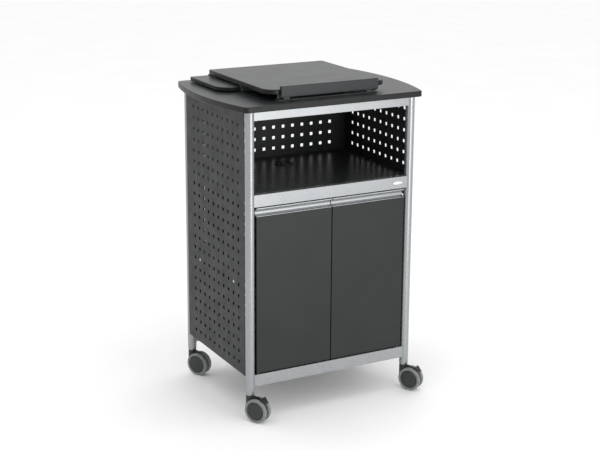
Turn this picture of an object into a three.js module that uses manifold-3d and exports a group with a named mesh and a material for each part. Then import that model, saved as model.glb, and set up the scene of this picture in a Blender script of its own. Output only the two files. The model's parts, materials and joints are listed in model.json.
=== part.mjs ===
// A rolling presentation lectern: a steel frame on four swivel casters, perforated side and back
// panels, an open compartment above a two-door cabinet, and a bowed worktop that carries a
// tilting lectern board, its prop and a sliding mouse tray.
// Millimetres. +X is the presenter's right, -Y is the presenter's side with the doors, +Z is up.

import * as THREE from "three";
import { mergeGeometries, mergeVertices } from "three/addons/utils/BufferGeometryUtils.js";
import Module from "manifold-3d";

const wasm = await Module();
wasm.setup();

// ---------------------------------------------------------------- driving dimensions

const fit = 0.3; // clearance where one piece seats on, or turns in, another
const mergeTolerance = 1e-3;
const roundSegments = 20;
const pinSegments = 12;
const curveSegments = 7;

// Frame
const postPitchX = 550;
const postPitchY = 430;
const postDiameter = 28;
const postWall = 1.5;
const postFootTaper = 2; // how much the foot of a post narrows
const postFootTaperHeight = 10;
const worktopUnderside = 956;
const railDepth = 20;
const railWall = 2;
const railProud = 10; // outer face of a rail, measured from the axis of its posts
const topRailHeight = 28;
const middleRailTop = 706.3;
const middleRailHeight = 36.8;
const bottomRailTop = 144.7;
const bottomRailHeight = 36.3;

// Worktop
const worktopThickness = 18;
const worktopFrontWidth = 598;
const worktopDepth = 490;
const worktopSideBow = 38;
const worktopCornerRadius = 12;

// Perforated panels
const panelThickness = 1.5;
const panelBottom = 140;
const sidePanelOffset = 13; // outer face of a side panel, measured from the axis of its posts
const panelEndGap = 0.5; // between a panel's edge and its post
const holeSize = 10;
const holePitch = 35;
const sideHoleFrontMargin = 41.5;
const sideHoleRearMargin = 41.5;
const backHoleMargin = 53; // the back panel is pierced no nearer to the side panels than this
const holeBottomMargin = 33.8;
const holeTopMargin = 33;

// Shelves
const upperShelfThickness = 16;
const basePanelThickness = 12;
const adjustableShelfThickness = 16;
const adjustableShelfFront = 24; // set back from the inside of the doors
const adjustableShelfRow = 7; // row of side holes that carries the clips, counted from the bottom
const clipColumnInset = 1; // columns of side holes left free before the clips, at either end
const clipWidth = 14;
const clipDepth = 8;
const clipThickness = 11;
const clipPegClearance = 1; // round the peg, in its square hole

// Cable grommet in the upper shelf
const grommetY = 93;
const grommetOuterRadius = 32;
const grommetBodyRadius = 27;
const grommetBoreRadius = 24;
const grommetFlange = 2.5;
const grommetBridge = 9; // bar across the bore, which leaves two cable openings
const grommetBridgeRoot = 1; // how far the bar runs into the wall of the bore at either end

// Doors
const doorThickness = 16;
const doorInset = 3; // front of the doors, behind the front of the rails
const doorPostGap = 4.8;
const doorSplit = 2.6;
const doorRailGap = 3;
const pivotInset = 8; // hinge axis, measured in from the door's outer edge
const pinRadius = 2.5;
const pinReach = 4; // how far a hinge pin enters a rail
const doorSwingClearance = 1.2; // between the base panel and the corner of a turning door
const doorPinDepth = 14; // how far the bottom pin enters its door
const pullHeight = 27.8;
const pullLip = 6;
const pullLipProud = 1.5;
const pullFootLip = 2;
const topPinDepth = 4.5; // how far the top pin enters the lip of the pull
const catchWidth = 40;
const catchDepth = 14;
const catchHeight = 38;

// Lectern board, its ledge, hinge, prop and tray
const boardWidth = 410;
const boardDepth = 409;
const boardThickness = 15;
const boardFront = -193;
const boardClearance = 1; // between the board and the highest piece below it
const boardFrontRadius = 38;
const boardRearRadius = 6;
const ledgeLength = 330;
const ledgeThickness = 12;
const ledgeDrop = 7.5; // below the underside of the board
const ledgeRise = 10.5; // above the top of the board
const ledgeTopRadius = 3;
const hingeSetback = 7; // hinge axis behind the front edge of the board
const hingeRodRadius = 3;
const hingeLength = 336;
const hingeLeafThickness = 2;
const hingeLeafDepth = 27;
const knuckleRadius = 4.8;
const knuckleWidth = 20;
const hingeBaseOverlap = 4; // how far the base leaf reaches out in front of the board's edge
const knuckleInset = 28; // middle of a base knuckle, measured in from the end of the hinge
const propLength = 200; // hinge axis to prop axis, and prop axis to the middle of its foot
const propX = 110;
const propWidth = 100;
const propThickness = 4;
const propEndRadius = 4;
const propPinRadius = 2.8;
const propEarThickness = 4;
const propEarRadius = 6;
const propBracketDepth = 24;
const footClearance = 0.7; // between the foot of the prop and the ribs of its track
const trackSideMargin = 2; // track beside the prop
const trackRearMargin = 12; // track behind the rearmost place of the foot
const trackFrontMargin = 10; // track ahead of the foremost place of the foot
const trackThickness = 2;
const trackRibHeight = 2;
const trackRibWidth = 3;
const trackRibCount = 5;
const largestTilt = 30; // degrees
const trayLeft = -268;
const trayLength = 256;
const trayFront = -10;
const trayDepth = 230;
const trayThickness = 12;
const trayLift = 3; // underside of the tray above the worktop
const trayCornerRadius = 48;
const trayRearRadius = 6;
const guideLeft = -204;
const guideLength = 256;
const guideWall = 4;
const guideLip = 2.2;
const guideLipReach = 6; // how far the lips reach over and under the tray

// Casters
const casterYaw = 30; // degrees
const casterCrown = 5; // top of a caster above its wheels
const wheelDiameter = 75;
const wheelWidth = 13;
const wheelGap = 10; // between the two wheels of a caster
const wheelTreadRadius = 2.5; // bevel on the tread's inner edge
const wheelShoulderWidth = 4; // outer edge of the tread, across the wheel
const wheelShoulder = 4.5; // the same edge, in from the tread
const wheelRing = 6; // flat ring between the shoulder and the hub disc
const wheelDish = 1; // how far the hub disc lies below the ring at its edge
const wheelHubCrown = 0.4; // and at its middle
const wheelSegments = 20;
const casterTrail = 28; // axle behind the swivel axis
const casterWebClearance = 1; // between a wheel and the web of the hood
const casterCollarRadius = 13;
const casterCollarDrop = 38; // how far the collar reaches down between the wheels
const axleRadius = 4;
const axleEngagement = 9; // how far the axle enters each wheel
const stemRadius = 5.5;
const stemLength = 36;
const stemRoot = 4; // how far the stem starts inside the hood
const stemHeadroom = 4; // socket left free above the stem
const wheelClearance = 1.2; // between a wheel's tread and the hood
const brakePivotAhead = 4; // brake pivot, measured from the axle away from the swivel axis
const brakePivotInside = 5.5; // brake pivot, measured in from the tread
const brakeBarrelRadius = 5;
const brakeBarrelClearance = 0.4;
const brakePadWidth = 26;

// Outlines of the hood's web and of the brake lever, in a plane along the trail. Each point is a
// distance behind the point named and a height above it.
const webTailFromPivot = [
  [2, 6.5],
  [2.5, -6.5],
];
const webFootFromAxle = [
  [8, -4],
  [0, -10],
  [-9, -5],
];
const brakeNeckFromPivot = [
  [-1, 2.5],
  [15, 10],
  [18, 5],
  [1, -2.5],
];
const brakePadFromPivot = [
  [12, 8],
  [23, 1],
  [31, -5],
  [34, -2],
  [24, 6],
  [14, 11],
];

// ---------------------------------------------------------------- derived places

const postX = postPitchX / 2;
const postY = postPitchY / 2;
const postRadius = postDiameter / 2;
const worktopTop = worktopUnderside + worktopThickness;
const frameTop = worktopUnderside - fit;
const frontRailFace = -postY - railProud;
const rearRailFace = postY + railProud;
const frontRailBack = frontRailFace + railDepth;
const sidePanelOuter = postX + sidePanelOffset;
const sidePanelInner = sidePanelOuter - panelThickness;
const backPanelOuter = postY - postRadius - fit;
const backPanelInner = backPanelOuter - panelThickness;
const middleRailBottom = middleRailTop - middleRailHeight;
const upperShelfBottom = middleRailTop - upperShelfThickness;
const doorFront = frontRailFace + doorInset;
const doorBack = doorFront + doorThickness;
const doorOuterX = postX - postRadius - doorPostGap;
const doorBottom = bottomRailTop + doorRailGap;
const doorTop = middleRailBottom - doorRailGap - pullHeight - fit;
const pullBottom = doorTop + fit;
const pullTop = pullBottom + pullHeight;
const pivotX = doorOuterX - pivotInset;
const pivotY = (doorFront + doorBack) / 2;
const cabinetFront = Math.max(frontRailBack, doorBack) + fit; // behind the doors and the rails
const clipPegSize = holeSize - 2 * clipPegClearance;
const trayBottom = worktopTop + trayLift;
const trayTop = trayBottom + trayThickness;
const trayRight = trayLeft + trayLength;
const guideTop = trayTop + fit + guideLip;
const trackTop = worktopTop + fit + trackThickness;
const hingeY = boardFront + hingeSetback;
const hingeZ = trackTop + trackRibHeight + footClearance + propEndRadius;
const hingeStackTop = hingeZ + knuckleRadius + fit + hingeLeafThickness + fit;
const boardBottom = Math.max(guideTop, hingeStackTop) + boardClearance;
const boardTop = boardBottom + boardThickness;
const propY = hingeY + propLength;
const footRearY = propY + propLength;
const footFrontY = hingeY + 2 * propLength * Math.cos(THREE.MathUtils.degToRad(largestTilt));
const axleZ = wheelDiameter / 2;
const casterHeight = wheelDiameter + casterCrown;
const hoodTop = casterHeight - fit;
const casterWebThickness = wheelGap - 2 * casterWebClearance;
const brakePivot = [casterTrail + brakePivotAhead, wheelDiameter - brakePivotInside];

// ---------------------------------------------------------------- finishes

const finishes = {
  silver: { color: 0xc4c8c9, roughness: 0.34, metalness: 0.75 },
  laminate: { color: 0x3f4344, roughness: 0.42, metalness: 0.0 },
  door: { color: 0x3b3d3d, roughness: 0.5, metalness: 0.0 },
  panel: { color: 0x3a3d3f, roughness: 0.55, metalness: 0.3 },
  steel: { color: 0x9a9ea0, roughness: 0.3, metalness: 0.9 },
  hinge: { color: 0x232526, roughness: 0.5, metalness: 0.5 },
  plastic: { color: 0x1d1f20, roughness: 0.5, metalness: 0.0 },
  wheel: { color: 0x4c5153, roughness: 0.6, metalness: 0.0 },
};

// ---------------------------------------------------------------- solid helpers

function toSolid(geometry) {
  const bare = geometry.clone();
  bare.deleteAttribute("normal");
  bare.deleteAttribute("uv");
  const merged = mergeVertices(bare, mergeTolerance);
  return new wasm.Manifold(
    new wasm.Mesh({
      numProp: 3,
      vertProperties: merged.attributes.position.array,
      triVerts: new Uint32Array(merged.index.array),
    }),
  );
}

function toGeometry(solid) {
  const { vertProperties, triVerts } = solid.getMesh();
  const geometry = new THREE.BufferGeometry();
  geometry.setAttribute("position", new THREE.BufferAttribute(vertProperties, 3));
  geometry.setIndex(new THREE.BufferAttribute(triVerts, 1));
  geometry.computeVertexNormals();
  return geometry;
}

// Joins the first list of geometries, then cuts the second list out of the result.
function carve(bodies, cuts = []) {
  let solid = toSolid(bodies[0]);
  for (const body of bodies.slice(1)) solid = solid.add(toSolid(body));
  for (const tool of cuts) solid = solid.subtract(toSolid(tool));
  return toGeometry(solid);
}

function block([x0, x1], [y0, y1], [z0, z1]) {
  const geometry = new THREE.BoxGeometry(x1 - x0, y1 - y0, z1 - z0);
  return geometry.translate((x0 + x1) / 2, (y0 + y1) / 2, (z0 + z1) / 2);
}

function rodZ(x, y, radius, z0, z1, segments = roundSegments) {
  const geometry = new THREE.CylinderGeometry(radius, radius, z1 - z0, segments);
  return geometry.rotateX(Math.PI / 2).translate(x, y, (z0 + z1) / 2);
}

function rodX(y, z, radius, x0, x1, segments = roundSegments) {
  const geometry = new THREE.CylinderGeometry(radius, radius, x1 - x0, segments);
  return geometry.rotateZ(-Math.PI / 2).translate((x0 + x1) / 2, y, z);
}

function extrude(shape, depth) {
  return new THREE.ExtrudeGeometry(shape, { depth, bevelEnabled: false, curveSegments });
}

// An outline drawn in X and Y, raised along Z.
function plateZ(shape, z0, z1) {
  return extrude(shape, z1 - z0).translate(0, 0, z0);
}

// An outline drawn in Y and Z, drawn out along X.
function profileX(shape, x0, x1) {
  const turn = new THREE.Matrix4().makeBasis(
    new THREE.Vector3(0, 1, 0),
    new THREE.Vector3(0, 0, 1),
    new THREE.Vector3(1, 0, 0),
  );
  return extrude(shape, x1 - x0).applyMatrix4(turn).translate(x0, 0, 0);
}

function polygon(points) {
  return new THREE.Shape(points.map(([a, b]) => new THREE.Vector2(a, b)));
}

// A rectangle whose corners are rounded in the order low-low, high-low, high-high, low-high.
function roundedRectangle([a0, a1], [b0, b1], [r00, r10, r11, r01]) {
  const shape = new THREE.Shape();
  shape.moveTo(a0 + r00, b0);
  shape.lineTo(a1 - r10, b0);
  if (r10) shape.absarc(a1 - r10, b0 + r10, r10, -Math.PI / 2, 0, false);
  shape.lineTo(a1, b1 - r11);
  if (r11) shape.absarc(a1 - r11, b1 - r11, r11, 0, Math.PI / 2, false);
  shape.lineTo(a0 + r01, b1);
  if (r01) shape.absarc(a0 + r01, b1 - r01, r01, Math.PI / 2, Math.PI, false);
  shape.lineTo(a0, b0 + r00);
  if (r00) shape.absarc(a0 + r00, b0 + r00, r00, Math.PI, 1.5 * Math.PI, false);
  return shape;
}

function addPiece(parent, name, geometry, finish) {
  const mesh = new THREE.Mesh(geometry, new THREE.MeshStandardMaterial(finishes[finish]));
  mesh.name = name;
  parent.add(mesh);
  return mesh;
}

function nameSide(sign) {
  return sign < 0 ? "left" : "right";
}

function nameEnd(sign) {
  return sign < 0 ? "front" : "rear";
}

// ---------------------------------------------------------------- frame

function postGeometry() {
  const inner = postRadius - postWall;
  const socket = stemRadius + fit;
  const socketTop = casterHeight + stemLength + stemHeadroom;
  const profile = [
    [socket, casterHeight],
    [postRadius - postFootTaper, casterHeight],
    [postRadius, casterHeight + postFootTaperHeight],
    [postRadius, frameTop],
    [inner, frameTop],
    [inner, socketTop],
    [socket, socketTop],
    [socket, casterHeight],
  ];
  const points = profile.map(([r, z]) => new THREE.Vector2(r, z));
  return new THREE.LatheGeometry(points, roundSegments).rotateX(Math.PI / 2);
}

// The room that each post needs, wherever another piece meets it.
function postClearances(bottom, top) {
  const tools = [];
  for (const x of [-postX, postX]) {
    for (const y of [-postY, postY]) {
      tools.push(rodZ(x, y, postRadius + fit, bottom, top));
    }
  }
  return tools;
}

// A rectangular tube between two posts, coped to their round walls.
function railGeometry(outerFace, innerFace, top, height, pinHoles = []) {
  const [y0, y1] = [Math.min(outerFace, innerFace), Math.max(outerFace, innerFace)];
  const bottom = top - height;
  const tube = block([-postX, postX], [y0, y1], [bottom, top]);
  const hollow = block(
    [-postX - fit, postX + fit],
    [y0 + railWall, y1 - railWall],
    [bottom + railWall, top - railWall],
  );
  return carve([tube], [hollow, ...postClearances(bottom - fit, top + fit), ...pinHoles]);
}

// Holes through one wall of a rail for the hinge pins of the two doors.
function pinHolesAt(z) {
  const tools = [];
  for (const x of [-pivotX, pivotX]) {
    tools.push(
      rodZ(x, pivotY, pinRadius + fit, z - railWall - fit, z + railWall + fit, pinSegments),
    );
  }
  return tools;
}

function buildFrame(root) {
  const group = new THREE.Group();
  for (const y of [-1, 1]) {
    for (const x of [-1, 1]) {
      const name = "post_" + nameEnd(y) + "_" + nameSide(x);
      addPiece(group, name, postGeometry(), "silver").position.set(x * postX, y * postY, 0);
    }
  }
  const middle = railGeometry(
    frontRailFace,
    frontRailBack,
    middleRailTop,
    middleRailHeight,
    pinHolesAt(middleRailBottom),
  );
  const bottom = railGeometry(
    frontRailFace,
    frontRailBack,
    bottomRailTop,
    bottomRailHeight,
    pinHolesAt(bottomRailTop),
  );
  const top = railGeometry(frontRailFace, frontRailBack, frameTop, topRailHeight);
  const rearInner = rearRailFace - railDepth;
  const rearTop = railGeometry(rearRailFace, rearInner, frameTop, topRailHeight);
  const rearBottom = railGeometry(rearRailFace, rearInner, bottomRailTop, bottomRailHeight);
  addPiece(group, "front_top_rail", top, "silver");
  addPiece(group, "front_middle_rail", middle, "silver");
  addPiece(group, "front_bottom_rail", bottom, "silver");
  addPiece(group, "rear_top_rail", rearTop, "silver");
  addPiece(group, "rear_bottom_rail", rearBottom, "silver");
  root.add(group);
}

// ---------------------------------------------------------------- perforated panels

// Evenly pitched centres between two edges that keep the margins free.
function holeCentres(low, high, lowMargin, highMargin) {
  const count = Math.floor((high - low - lowMargin - highMargin) / holePitch) + 1;
  return Array.from({ length: count }, (_, i) => low + lowMargin + i * holePitch);
}

const sidePanelEnd = endBesidePost(sidePanelInner - postX, postY);
const sideColumns = holeCentres(
  -sidePanelEnd,
  sidePanelEnd,
  sideHoleFrontMargin,
  sideHoleRearMargin,
);
const sideRows = holeCentres(panelBottom, frameTop, holeBottomMargin, holeTopMargin);

// How far a sheet that passes a post's axis at the given offset can run towards that post. One
// that clears the post runs up to its axis.
function endBesidePost(offset, postPlace) {
  const radius = postRadius + panelEndGap;
  return postPlace - Math.sqrt(Math.max(0, radius ** 2 - offset ** 2));
}

// A sheet standing in Y and Z, cut by one square hole at each crossing of a column and a row.
function perforatedSheet(thickness, [low, high], [bottom, top], columns, rows) {
  const sheet = block([0, thickness], [low, high], [bottom, top]);
  const half = holeSize / 2;
  const holes = [];
  for (const a of columns) {
    for (const b of rows) {
      holes.push(block([-fit, thickness + fit], [a - half, a + half], [b - half, b + half]));
    }
  }
  return carve([sheet], [mergeGeometries(holes)]);
}

function buildPanels(root) {
  for (const side of [-1, 1]) {
    const sheet = perforatedSheet(
      panelThickness,
      [-sidePanelEnd, sidePanelEnd],
      [panelBottom, frameTop],
      sideColumns,
      sideRows,
    );
    sheet.translate(side < 0 ? -sidePanelOuter : sidePanelInner, 0, 0);
    addPiece(root, "side_panel_" + nameSide(side), sheet, "panel");
  }

  // The back panel stands inside the rear posts, from one side panel to the other.
  const end = sidePanelInner - fit;
  const columns = holeCentres(-end, end, backHoleMargin, backHoleMargin);
  const middle = (columns[0] + columns[columns.length - 1]) / 2;
  const back = perforatedSheet(
    panelThickness,
    [-end, end],
    [panelBottom, frameTop],
    columns.map((x) => x - middle),
    sideRows,
  );
  back.rotateZ(Math.PI / 2).translate(0, backPanelInner, 0);
  addPiece(root, "back_panel", back, "panel");
}

// ---------------------------------------------------------------- worktop and shelves

// A rectangle whose two sides bow outwards as shallow arcs, with its four corners eased.
function worktopShape() {
  const halfWidth = worktopFrontWidth / 2;
  const halfDepth = worktopDepth / 2;
  const bowRadius = (halfDepth ** 2 + worktopSideBow ** 2) / (2 * worktopSideBow);
  const centre = halfWidth + worktopSideBow - bowRadius;
  const ease = worktopCornerRadius;
  const sweep = Math.asin((halfDepth - ease) / bowRadius);
  const shape = new THREE.Shape();
  shape.moveTo(-halfWidth + ease, -halfDepth);
  shape.lineTo(halfWidth - ease, -halfDepth);
  shape.quadraticCurveTo(
    halfWidth,
    -halfDepth,
    centre + bowRadius * Math.cos(sweep),
    -halfDepth + ease,
  );
  shape.absarc(centre, 0, bowRadius, -sweep, sweep, false);
  shape.quadraticCurveTo(halfWidth, halfDepth, halfWidth - ease, halfDepth);
  shape.lineTo(-halfWidth + ease, halfDepth);
  shape.quadraticCurveTo(
    -halfWidth,
    halfDepth,
    -centre - bowRadius * Math.cos(sweep),
    halfDepth - ease,
  );
  shape.absarc(-centre, 0, bowRadius, Math.PI - sweep, Math.PI + sweep, false);
  shape.quadraticCurveTo(-halfWidth, -halfDepth, -halfWidth + ease, -halfDepth);
  return shape;
}

function shelfX() {
  return [-sidePanelInner + fit, sidePanelInner - fit];
}

function buildShelves(root) {
  addPiece(root, "worktop", plateZ(worktopShape(), worktopUnderside, worktopTop), "laminate");

  const upper = block(
    shelfX(),
    [frontRailBack + fit, backPanelInner - fit],
    [upperShelfBottom, middleRailTop],
  );
  const upperCuts = postClearances(upperShelfBottom - fit, middleRailTop + fit);
  upperCuts.push(
    rodZ(0, grommetY, grommetBodyRadius + fit, upperShelfBottom - fit, middleRailTop + fit),
  );
  addPiece(root, "upper_shelf", carve([upper], upperCuts), "laminate");

  const doorSwing = Math.hypot(pivotInset, doorThickness / 2) + doorSwingClearance;
  const baseBottom = panelBottom + fit;
  const baseTop = baseBottom + basePanelThickness;
  const base = block(
    shelfX(),
    [Math.max(pivotY + doorSwing, frontRailBack + fit), backPanelInner - fit],
    [baseBottom, baseTop],
  );
  const baseCuts = postClearances(baseBottom - fit, baseTop + fit);
  addPiece(root, "base_panel", carve([base], baseCuts), "laminate");

  const shelfBottom = sideRows[adjustableShelfRow] + clipThickness / 2 + fit;
  const shelf = block(
    shelfX(),
    [doorBack + adjustableShelfFront, sideColumns[sideColumns.length - 1] + holePitch],
    [shelfBottom, shelfBottom + adjustableShelfThickness],
  );
  addPiece(root, "adjustable_shelf", shelf, "laminate");
}

// A clip under the adjustable shelf, with a peg that sits in one hole of a side panel.
function buildShelfClips(root) {
  const z = sideRows[adjustableShelfRow];
  for (const end of [-1, 1]) {
    const y = sideColumns.at(end < 0 ? clipColumnInset : -1 - clipColumnInset);
    for (const side of [-1, 1]) {
      const seat = side * (sidePanelInner - fit);
      const tip = side * sidePanelOuter;
      const inside = seat - side * clipDepth;
      const body = block(
        [Math.min(seat, inside), Math.max(seat, inside)],
        [y - clipWidth / 2, y + clipWidth / 2],
        [z - clipThickness / 2, z + clipThickness / 2],
      );
      const peg = block(
        [Math.min(inside, tip), Math.max(inside, tip)],
        [y - clipPegSize / 2, y + clipPegSize / 2],
        [z - clipPegSize / 2, z + clipPegSize / 2],
      );
      const name = "shelf_clip_" + nameEnd(end) + "_" + nameSide(side);
      addPiece(root, name, carve([body, peg]), "steel");
    }
  }
}

// A flanged ring through the upper shelf; a bar across its bore leaves two cable openings.
function buildGrommet(root) {
  const top = middleRailTop + fit + grommetFlange;
  const flange = rodZ(0, grommetY, grommetOuterRadius, middleRailTop + fit, top);
  const body = rodZ(0, grommetY, grommetBodyRadius, upperShelfBottom, top);
  const bore = rodZ(0, grommetY, grommetBoreRadius, upperShelfBottom - fit, top + fit);
  const bridgeReach = grommetBoreRadius + grommetBridgeRoot;
  const bridge = block(
    [-bridgeReach, bridgeReach],
    [grommetY - grommetBridge / 2, grommetY + grommetBridge / 2],
    [upperShelfBottom, top],
  );
  const ring = carve([flange, body], [bore]);
  addPiece(root, "cable_grommet", carve([ring, bridge]), "plastic");
}

// ---------------------------------------------------------------- doors

// Section of the pull: a round-nosed lip over a hollow that the fingers reach into.
function pullShape() {
  const nose = pullLip / 2;
  const noseY = doorFront - pullLipProud + nose;
  const hollowTop = pullTop - pullLip;
  const hollowBottom = pullBottom + pullFootLip;
  const hollow = (hollowTop - hollowBottom) / 2;
  const shape = new THREE.Shape();
  shape.moveTo(doorBack, pullBottom);
  shape.lineTo(doorBack, pullTop);
  shape.lineTo(noseY, pullTop);
  shape.absarc(noseY, pullTop - nose, nose, Math.PI / 2, 1.5 * Math.PI, false);
  shape.absarc(noseY, hollowBottom + hollow, hollow, Math.PI / 2, -Math.PI / 2, true);
  shape.lineTo(doorFront, hollowBottom);
  shape.lineTo(doorFront, pullBottom);
  return shape;
}

function buildDoor(root, side) {
  const group = new THREE.Group();
  const label = nameSide(side);
  const edges = [side * (doorSplit / 2), side * doorOuterX].sort((a, b) => a - b);
  const x = side * pivotX;
  const pinBottom = bottomRailTop - pinReach;
  const pinTop = middleRailBottom + pinReach;
  const bottomSeat = doorBottom + doorPinDepth;
  const topSeat = pullTop - topPinDepth;

  const leaf = block(edges, [doorFront, doorBack], [doorBottom, doorTop]);
  const holeRadius = pinRadius + fit;
  const leafHole = rodZ(x, pivotY, holeRadius, doorBottom - fit, bottomSeat + fit, pinSegments);
  addPiece(group, "door_" + label, carve([leaf], [leafHole]), "door");

  const pull = profileX(pullShape(), edges[0], edges[1]);
  const pullHole = rodZ(x, pivotY, holeRadius, topSeat - fit, pullTop + fit, pinSegments);
  addPiece(group, "door_pull_" + label, carve([pull], [pullHole]), "silver");

  const lowPin = rodZ(x, pivotY, pinRadius, pinBottom, bottomSeat, pinSegments);
  const highPin = rodZ(x, pivotY, pinRadius, topSeat, pinTop, pinSegments);
  addPiece(group, "door_pin_bottom_" + label, lowPin, "steel");
  addPiece(group, "door_pin_top_" + label, highPin, "steel");
  root.add(group);
}

function buildDoorCatch(root) {
  const top = upperShelfBottom - fit;
  const geometry = block(
    [-catchWidth / 2, catchWidth / 2],
    [cabinetFront, cabinetFront + catchDepth],
    [top - catchHeight, top],
  );
  addPiece(root, "door_catch", geometry, "plastic");
}

// ---------------------------------------------------------------- lectern board

// A knuckle round an axis along X: a round end on a straight root that reaches to height root.
function knuckleShape(y, z, radius, root) {
  const shape = new THREE.Shape();
  const up = root > z;
  const start = up ? Math.PI : 0;
  shape.moveTo(y + (up ? radius : -radius), root);
  shape.lineTo(y + (up ? -radius : radius), root);
  shape.absarc(y, z, radius, start, start + Math.PI, false);
  return shape;
}

function buildBoard(root) {
  const group = new THREE.Group();
  const half = boardWidth / 2;
  const boardShape = roundedRectangle(
    [-half, half],
    [boardFront, boardFront + boardDepth],
    [boardFrontRadius, boardFrontRadius, boardRearRadius, boardRearRadius],
  );
  addPiece(group, "lectern_board", plateZ(boardShape, boardBottom, boardTop), "laminate");

  const ledgeBack = boardFront - fit;
  const ledgeShape = roundedRectangle(
    [ledgeBack - ledgeThickness, ledgeBack],
    [boardBottom - ledgeDrop, boardTop + ledgeRise],
    [0, 0, ledgeTopRadius, ledgeTopRadius],
  );
  const ledge = profileX(ledgeShape, -ledgeLength / 2, ledgeLength / 2);
  addPiece(group, "paper_ledge", ledge, "laminate");
  root.add(group);
}

// Two leaves whose knuckles share one rod: the base leaf is on the worktop, the other under the board.
function buildHinge(root) {
  const half = hingeLength / 2;
  const bore = rodX(hingeY, hingeZ, hingeRodRadius + fit, -half - fit, half + fit, pinSegments);
  const front = boardFront - hingeBaseOverlap;

  const baseBottom = worktopTop + fit;
  const baseTop = baseBottom + hingeLeafThickness;
  const baseBodies = [block([-half, half], [front, front + hingeLeafDepth], [baseBottom, baseTop])];
  const leafTop = boardBottom - fit;
  const leafBottom = leafTop - hingeLeafThickness;
  const leafBodies = [
    block([-half, half], [boardFront, boardFront + hingeLeafDepth], [leafBottom, leafTop]),
  ];
  for (const side of [-1, 1]) {
    const baseFrom = side * (half - knuckleInset) - knuckleWidth / 2;
    const baseKnuckle = knuckleShape(hingeY, hingeZ, knuckleRadius, baseBottom);
    baseBodies.push(profileX(baseKnuckle, baseFrom, baseFrom + knuckleWidth));
    for (const step of [-1, 1]) {
      const leafFrom = baseFrom + step * (knuckleWidth + fit);
      const from = Math.max(-half, leafFrom);
      const to = Math.min(half, leafFrom + knuckleWidth);
      const leafKnuckle = knuckleShape(hingeY, hingeZ, knuckleRadius, leafTop);
      leafBodies.push(profileX(leafKnuckle, from, to));
    }
  }
  addPiece(root, "hinge_base", carve(baseBodies, [bore]), "hinge");
  addPiece(root, "hinge_leaf", carve(leafBodies, [bore]), "hinge");
  const rod = rodX(hingeY, hingeZ, hingeRodRadius, -half, half, pinSegments);
  addPiece(root, "hinge_rod", rod, "steel");
}

// The prop is as long as the distance between its own axis and the hinge axis, so its foot stays
// at the height of the hinge axis while the board tilts.
function buildProp(root) {
  const low = propX - propWidth / 2;
  const high = propX + propWidth / 2;
  const earLow = low - fit - propEarThickness;
  const earHigh = high + fit + propEarThickness;

  const plate = block(
    [low, high],
    [propY, footRearY],
    [hingeZ - propThickness / 2, hingeZ + propThickness / 2],
  );
  const barrel = rodX(propY, hingeZ, propEndRadius, low, high, pinSegments);
  const foot = rodX(footRearY, hingeZ, propEndRadius, low, high, pinSegments);
  const pins = rodX(propY, hingeZ, propPinRadius, earLow + fit, earHigh - fit, pinSegments);
  addPiece(root, "prop_stay", carve([plate, barrel, foot, pins]), "steel");

  const bracketTop = boardBottom - fit;
  const half = propBracketDepth / 2;
  const bodies = [
    block(
      [earLow, earHigh],
      [propY - half, propY + half],
      [bracketTop - hingeLeafThickness, bracketTop],
    ),
  ];
  const earShape = knuckleShape(propY, hingeZ, propEarRadius, bracketTop);
  bodies.push(profileX(earShape, earLow, earLow + propEarThickness));
  bodies.push(profileX(earShape, earHigh - propEarThickness, earHigh));
  const bore = rodX(propY, hingeZ, propPinRadius + fit, earLow - fit, earHigh + fit, pinSegments);
  addPiece(root, "prop_bracket", carve(bodies, [bore]), "hinge");

  buildPropTrack(root);
}

// The ribbed plate that the foot of the prop stands on.
function buildPropTrack(root) {
  const front = footFrontY - trackFrontMargin;
  const rear = footRearY + trackRearMargin;
  const reach = propWidth / 2 + trackSideMargin;
  const x = [propX - reach, propX + reach];
  const bottom = worktopTop + fit;
  const ribTop = trackTop + trackRibHeight;
  const ribs = [block(x, [front, rear], [bottom, trackTop])];
  const pitch = (footRearY - footFrontY) / (trackRibCount - 1);
  for (let i = 0; i < trackRibCount; i++) {
    const y = footFrontY - propEndRadius + i * pitch;
    ribs.push(block(x, [y - trackRibWidth / 2, y + trackRibWidth / 2], [bottom, ribTop]));
  }
  addPiece(root, "prop_track", carve(ribs), "hinge");
}

function buildTray(root) {
  const rear = trayFront + trayDepth;
  const shape = roundedRectangle(
    [trayLeft, trayRight],
    [trayFront, rear],
    [trayCornerRadius, 0, 0, trayRearRadius],
  );
  addPiece(root, "mouse_tray", plateZ(shape, trayBottom, trayTop), "laminate");

  for (const side of [-1, 1]) {
    const edge = side < 0 ? trayFront : rear;
    const wall = edge + side * (fit + guideWall);
    const lip = edge - side * guideLipReach;
    const low = worktopTop + fit;
    const shelf = trayBottom - fit;
    const over = trayTop + fit;
    const section = polygon([
      [wall, low],
      [lip, low],
      [lip, shelf],
      [edge + side * fit, shelf],
      [edge + side * fit, over],
      [lip, over],
      [lip, guideTop],
      [wall, guideTop],
    ]);
    const guide = profileX(section, guideLeft, guideLeft + guideLength);
    addPiece(root, "tray_guide_" + nameEnd(side), guide, "hinge");
  }
}

// ---------------------------------------------------------------- casters

// In a caster's own frame the swivel axis is Z, the axle runs along X and the wheels trail
// towards -Y. Places along the trail are measured from the swivel axis.
function trailed(points) {
  return polygon(points.map(([along, z]) => [-along, z]));
}

function offsetBy([along, up], points) {
  return points.map(([a, b]) => [along + a, up + b]);
}

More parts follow.
